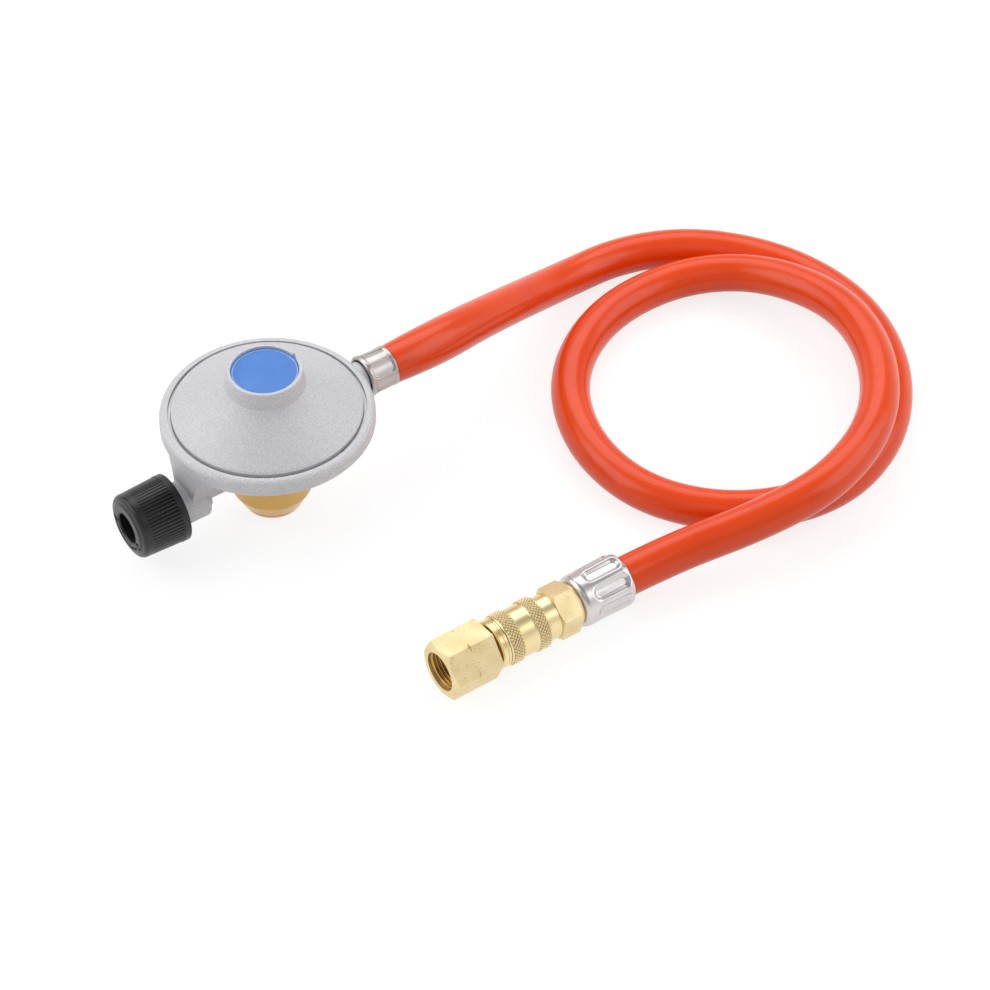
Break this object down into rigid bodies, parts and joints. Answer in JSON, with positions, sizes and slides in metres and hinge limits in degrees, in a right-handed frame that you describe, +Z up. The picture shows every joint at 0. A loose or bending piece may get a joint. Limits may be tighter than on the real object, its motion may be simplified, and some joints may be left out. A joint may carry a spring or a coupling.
{
  "type": "gas regulator with hose",
  "caption": "Low-pressure gas regulator with a tap knob and a threaded cartridge connector, a crimped orange hose and a ball-lock quick coupling holding a swivel nut.",
  "frame": {"origin": "centre of the mouth of the cartridge connector, on which the regulator stands", "axes": "+Z up along the regulator's axis; +X from the tap to the hose outlet; the coupling lies along X with its nut towards -X"},
  "size_m": [0.3074, 0.1757, 0.0645],
  "materials": {
    "zinc_casting": "satin",
    "spring_steel": "satin",
    "label": "satin",
    "black_plastic": "satin",
    "connector_brass": "satin",
    "seal_rubber": "matte",
    "zinc_plate": "satin",
    "ferrule_steel": "satin",
    "hose_rubber": "satin",
    "coupling_brass": "bright machined"
  },
  "bodies": {
    "regulator": {"body_casting": "zinc_casting", "cover_casting": "zinc_casting", "retaining_ring": "spring_steel", "label_disc": "label", "adjusting_disc": "black_plastic", "cartridge_connector": "connector_brass", "cartridge_seal": "seal_rubber", "opening_pin": "connector_brass", "diaphragm": "seal_rubber", "main_spring": "spring_steel", "lever_pin": "spring_steel", "inlet_jet": "connector_brass", "spindle_seal": "seal_rubber", "gland_nut": "connector_brass", "ferrule_regulator": "ferrule_steel", "hose": "hose_rubber", "ferrule_coupling": "ferrule_steel", "coupling_tail": "coupling_brass", "coupling_socket": "coupling_brass", "sleeve_stop_ring": "coupling_brass", "plug_seal": "seal_rubber", "locking_balls": "spring_steel", "valve_poppet": "coupling_brass", "poppet_spring": "spring_steel", "sleeve_spring": "spring_steel"},
    "diaphragm_group": {"diaphragm_plate": "zinc_plate", "diaphragm_stem": "zinc_plate", "stem_nut": "spring_steel"},
    "lever_arm": {"lever": "spring_steel", "valve_pad": "seal_rubber"},
    "tap_carrier": {"tap_pad": "seal_rubber"},
    "tap_handle": {"tap_knob": "black_plastic", "tap_spindle": "connector_brass", "knob_screw": "spring_steel"},
    "release_sleeve": {"coupling_sleeve": "coupling_brass"},
    "swivel_plug": {"plug_nut": "coupling_brass"}
  },
  "joints": [
    {"name": "diaphragm_lift", "type": "slide", "parent": "regulator", "child": "diaphragm_group", "axis": [0, 0, 1], "range_m": [0, 0.0015], "stiffness_N_per_m": 1500, "springref_m": -0.003, "deforming": ["diaphragm", "main_spring"]},
    {"name": "lever_rock", "type": "hinge", "parent": "regulator", "child": "lever_arm", "pos_m": [-0.0105, 0, 0.03525], "axis": [0, -1, 0], "range_deg": [0, 8.3]},
    {"name": "tap_travel", "type": "slide", "parent": "regulator", "child": "tap_carrier", "axis": [-1, 0, 0], "range_m": [0, 0.0013]},
    {"name": "tap_turn", "type": "hinge", "parent": "regulator", "child": "tap_handle", "pos_m": [-0.05, 0, 0.019], "axis": [-1, 0, 0], "range_deg": [0, 360]},
    {"name": "sleeve_pull", "type": "slide", "parent": "regulator", "child": "release_sleeve", "axis": [1, 0, 0], "range_m": [0, 0.0042], "stiffness_N_per_m": 1200, "springref_m": -0.002, "deforming": ["sleeve_spring"]},
    {"name": "plug_swivel", "type": "hinge", "parent": "regulator", "child": "swivel_plug", "pos_m": [0, -0.1162, 0.0115], "axis": [1, 0, 0], "continuous": true}
  ],
  "couplings": [
    {"joint": "lever_rock", "follows": "diaphragm_lift", "rad_per_m": 95.238},
    {"joint": "tap_travel", "follows": "tap_turn", "m_per_rad": 0.00019894}
  ]
}
